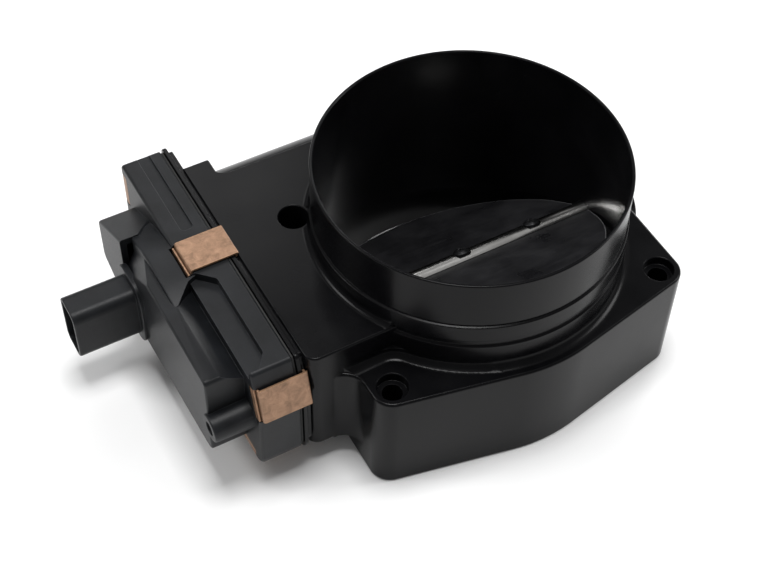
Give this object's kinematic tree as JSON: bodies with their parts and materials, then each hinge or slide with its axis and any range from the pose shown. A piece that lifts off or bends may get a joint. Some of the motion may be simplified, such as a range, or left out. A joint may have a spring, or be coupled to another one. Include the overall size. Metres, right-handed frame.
{
  "type": "electronic throttle body",
  "caption": "Large-bore electronic throttle body: round inlet tube on a bolted flange, tilting plate on a cross shaft, and a clipped gear cover with an electrical connector.",
  "frame": {"origin": "at the bottom centre of the assembly's bounding box, in the plane of the mounting flange face; the bore axis stands at x 39.5 mm, y -12.3 mm", "axes": "+Z along the bore from the flange to the inlet tube; X along the throttle shaft, gear housing and cover at -X; the corner of the flange beside the front clip is at -Y"},
  "size_m": [0.234, 0.1656, 0.101],
  "materials": {
    "anodised_housing": "satin black anodised, machined",
    "black_rubber": "matte",
    "zinc_steel": "zinc plated",
    "polished_steel": "polished",
    "black_plate": "dark anodised",
    "black_screw": "blackened",
    "copper_spring": "copper-coloured spring steel, brushed",
    "black_plastic": "fine moulded grain",
    "gear_plastic": "natural",
    "tinned_brass": "tinned",
    "circuit_board": "solder mask",
    "chip": "moulded",
    "magnet": "sintered"
  },
  "bodies": {
    "body": {"throttle_housing": "anodised_housing", "flange_seal": "black_rubber", "gear_side_shaft_seal": "black_rubber", "idle_side_shaft_seal": "black_rubber", "cover_gasket": "black_rubber", "gear_side_bearing": "zinc_steel", "idle_side_bearing": "zinc_steel", "idle_side_plug": "zinc_steel", "closed_stop_screw": "zinc_steel", "motor_can": "zinc_steel", "motor_bracket": "zinc_steel", "intermediate_gear_pin": "polished_steel", "motor_bracket_screw_1": "black_screw", "motor_bracket_screw_2": "black_screw", "return_spring": "black_screw", "cover_clip_top": "copper_spring", "cover_clip_front": "copper_spring", "cover_clip_bottom_front": "copper_spring", "cover_clip_bottom_back": "copper_spring", "cover_clip_back": "copper_spring", "gear_cover": "black_plastic", "spring_bush": "gear_plastic", "motor_terminal_1": "tinned_brass", "motor_terminal_2": "tinned_brass", "connector_pin_1": "tinned_brass", "connector_pin_2": "tinned_brass", "connector_pin_3": "tinned_brass", "connector_pin_4": "tinned_brass", "connector_pin_5": "tinned_brass", "connector_pin_6": "tinned_brass", "sensor_board": "circuit_board", "sensor_chip": "chip"},
    "throttle": {"throttle_shaft": "polished_steel", "throttle_plate": "black_plate", "plate_screw_1": "black_screw", "plate_screw_2": "black_screw", "plate_screw_3": "black_screw", "shaft_retaining_clip": "black_screw", "sector_gear": "gear_plastic", "sensor_magnet": "magnet"},
    "intermediate": {"intermediate_gear": "gear_plastic"},
    "motor_rotor": {"motor_pinion": "tinned_brass"}
  },
  "joints": [
    {"name": "throttle_turn", "type": "hinge", "parent": "body", "child": "throttle", "pos_m": [0.0395, -0.01232, 0.0402], "axis": [-1, 0, 0], "range_deg": [-24, 57], "stiffness_Nm_per_rad": 0.35},
    {"name": "intermediate_turn", "type": "hinge", "parent": "body", "child": "intermediate", "pos_m": [-0.0535, 0.02117, 0.04063], "axis": [-1, 0, 0], "range_deg": [-145, 62]},
    {"name": "motor_turn", "type": "hinge", "parent": "body", "child": "motor_rotor", "pos_m": [-0.0535, 0.05008, 0.043], "axis": [-1, 0, 0], "range_deg": [-260, 616]}
  ],
  "couplings": [
    {"joint": "intermediate_turn", "follows": "throttle_turn", "ratio": -2.5263},
    {"joint": "motor_turn", "follows": "throttle_turn", "ratio": 10.794}
  ]
}
